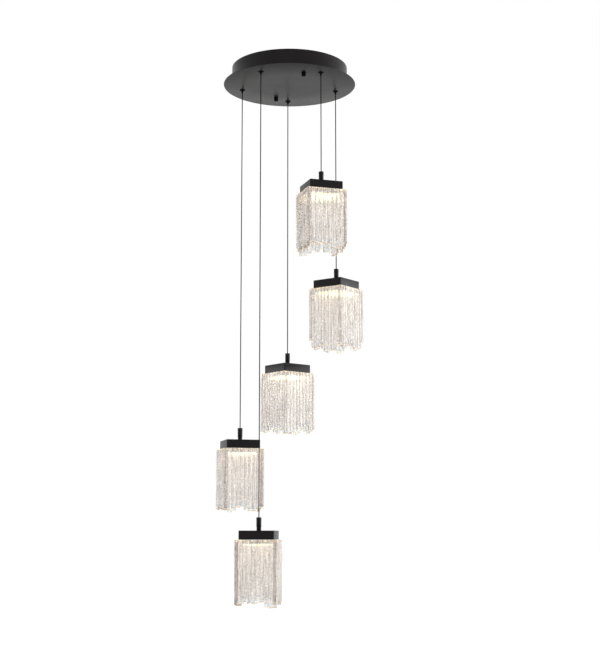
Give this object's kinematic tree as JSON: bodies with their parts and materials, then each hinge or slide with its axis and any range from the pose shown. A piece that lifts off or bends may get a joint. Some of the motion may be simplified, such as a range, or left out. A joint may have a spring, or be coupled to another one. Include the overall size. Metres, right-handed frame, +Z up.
{
  "type": "cluster pendant light",
  "caption": "Cluster pendant: square shades of clear fused glass rods with ragged lower ends, under black caps, hung in a stepped spiral from a round black canopy.",
  "frame": {"origin": "on the ceiling, at the middle of the crossbar's top face, which is on the canopy's axis", "axes": "+Z up into the ceiling, +X towards the second-highest pendant's cord hole, +Y along the crossbar"},
  "size_m": [0.4336, 0.4248, 1.606],
  "materials": {
    "black_metal": "satin powder coat",
    "zinc_steel": "zinc plated",
    "aluminium": "bright, as pressed",
    "rod_glass": "clear, finely seeded, fused rods",
    "opal": "opal, lit from behind",
    "cord_sheath": "smooth matt sheath",
    "white_housing": "moulded, matt"
  },
  "bodies": {
    "canopy": {"canopy_drum": "black_metal", "canopy_plate": "black_metal", "mounting_bracket": "zinc_steel", "cap_nuts": "black_metal", "cord_grips": "black_metal", "led_driver": "white_housing", "terminal_block": "white_housing"},
    "drop_1": {"cord_1": "cord_sheath"},
    "sleeve_1": {"sleeve_1": "black_metal"},
    "head_1": {"cap_1": "black_metal", "spacer_1": "zinc_steel", "glass_carrier_1": "aluminium", "led_tray_1": "aluminium", "led_board_1": "white_housing", "diffuser_1": "opal", "glass_1": "rod_glass"},
    "drop_2": {"cord_2": "cord_sheath"},
    "sleeve_2": {"sleeve_2": "black_metal"},
    "head_2": {"cap_2": "black_metal", "spacer_2": "zinc_steel", "glass_carrier_2": "aluminium", "led_tray_2": "aluminium", "led_board_2": "white_housing", "diffuser_2": "opal", "glass_2": "rod_glass"},
    "drop_3": {"cord_3": "cord_sheath"},
    "sleeve_3": {"sleeve_3": "black_metal"},
    "head_3": {"cap_3": "black_metal", "spacer_3": "zinc_steel", "glass_carrier_3": "aluminium", "led_tray_3": "aluminium", "led_board_3": "white_housing", "diffuser_3": "opal", "glass_3": "rod_glass"},
    "drop_4": {"cord_4": "cord_sheath"},
    "sleeve_4": {"sleeve_4": "black_metal"},
    "head_4": {"cap_4": "black_metal", "spacer_4": "zinc_steel", "glass_carrier_4": "aluminium", "led_tray_4": "aluminium", "led_board_4": "white_housing", "diffuser_4": "opal", "glass_4": "rod_glass"},
    "drop_5": {"cord_5": "cord_sheath"},
    "sleeve_5": {"sleeve_5": "black_metal"},
    "head_5": {"cap_5": "black_metal", "spacer_5": "zinc_steel", "glass_carrier_5": "aluminium", "led_tray_5": "aluminium", "led_board_5": "white_housing", "diffuser_5": "opal", "glass_5": "rod_glass"}
  },
  "joints": [
    {"name": "swing_1", "type": "hinge", "parent": "canopy", "child": "drop_1", "pos_m": [0.04666, -0.14361, -0.0625], "axis": [-0.9511, -0.309, 0], "range_deg": [-7.6, 15]},
    {"name": "height_1", "type": "slide", "parent": "drop_1", "child": "sleeve_1", "axis": [0, 0, 1], "range_m": [0, 0.15], "deforming": ["cord_1"]},
    {"name": "turn_1", "type": "hinge", "parent": "sleeve_1", "child": "head_1", "pos_m": [0.04666, -0.14361, -0.393], "axis": [0, 0, 1], "range_deg": [-180, 180]},
    {"name": "swing_2", "type": "hinge", "parent": "canopy", "child": "drop_2", "pos_m": [0.151, 0, -0.0625], "axis": [0, -1, 0], "range_deg": [-4.8, 15]},
    {"name": "height_2", "type": "slide", "parent": "drop_2", "child": "sleeve_2", "axis": [0, 0, 1], "range_m": [0, 0.15], "deforming": ["cord_2"]},
    {"name": "turn_2", "type": "hinge", "parent": "sleeve_2", "child": "head_2", "pos_m": [0.151, 0, -0.649], "axis": [0, 0, 1], "range_deg": [-180, 180]},
    {"name": "swing_3", "type": "hinge", "parent": "canopy", "child": "drop_3", "pos_m": [0.04666, 0.14361, -0.0625], "axis": [0.9511, -0.309, 0], "range_deg": [-3.6, 15]},
    {"name": "height_3", "type": "slide", "parent": "drop_3", "child": "sleeve_3", "axis": [0, 0, 1], "range_m": [0, 0.15], "deforming": ["cord_3"]},
    {"name": "turn_3", "type": "hinge", "parent": "sleeve_3", "child": "head_3", "pos_m": [0.04666, 0.14361, -0.893], "axis": [0, 0, 1], "range_deg": [-180, 180]},
    {"name": "swing_4", "type": "hinge", "parent": "canopy", "child": "drop_4", "pos_m": [-0.12216, 0.08876, -0.0625], "axis": [0.5878, 0.809, 0], "range_deg": [-2.9, 15]},
    {"name": "height_4", "type": "slide", "parent": "drop_4", "child": "sleeve_4", "axis": [0, 0, 1], "range_m": [0, 0.15], "deforming": ["cord_4"]},
    {"name": "turn_4", "type": "hinge", "parent": "sleeve_4", "child": "head_4", "pos_m": [-0.12216, 0.08876, -1.131], "axis": [0, 0, 1], "range_deg": [-180, 180]},
    {"name": "swing_5", "type": "hinge", "parent": "canopy", "child": "drop_5", "pos_m": [-0.12216, -0.08876, -0.0625], "axis": [-0.5878, 0.809, 0], "range_deg": [-2.4, 15]},
    {"name": "height_5", "type": "slide", "parent": "drop_5", "child": "sleeve_5", "axis": [0, 0, 1], "range_m": [0, 0.15], "deforming": ["cord_5"]},
    {"name": "turn_5", "type": "hinge", "parent": "sleeve_5", "child": "head_5", "pos_m": [-0.12216, -0.08876, -1.395], "axis": [0, 0, 1], "range_deg": [-180, 180]}
  ]
}
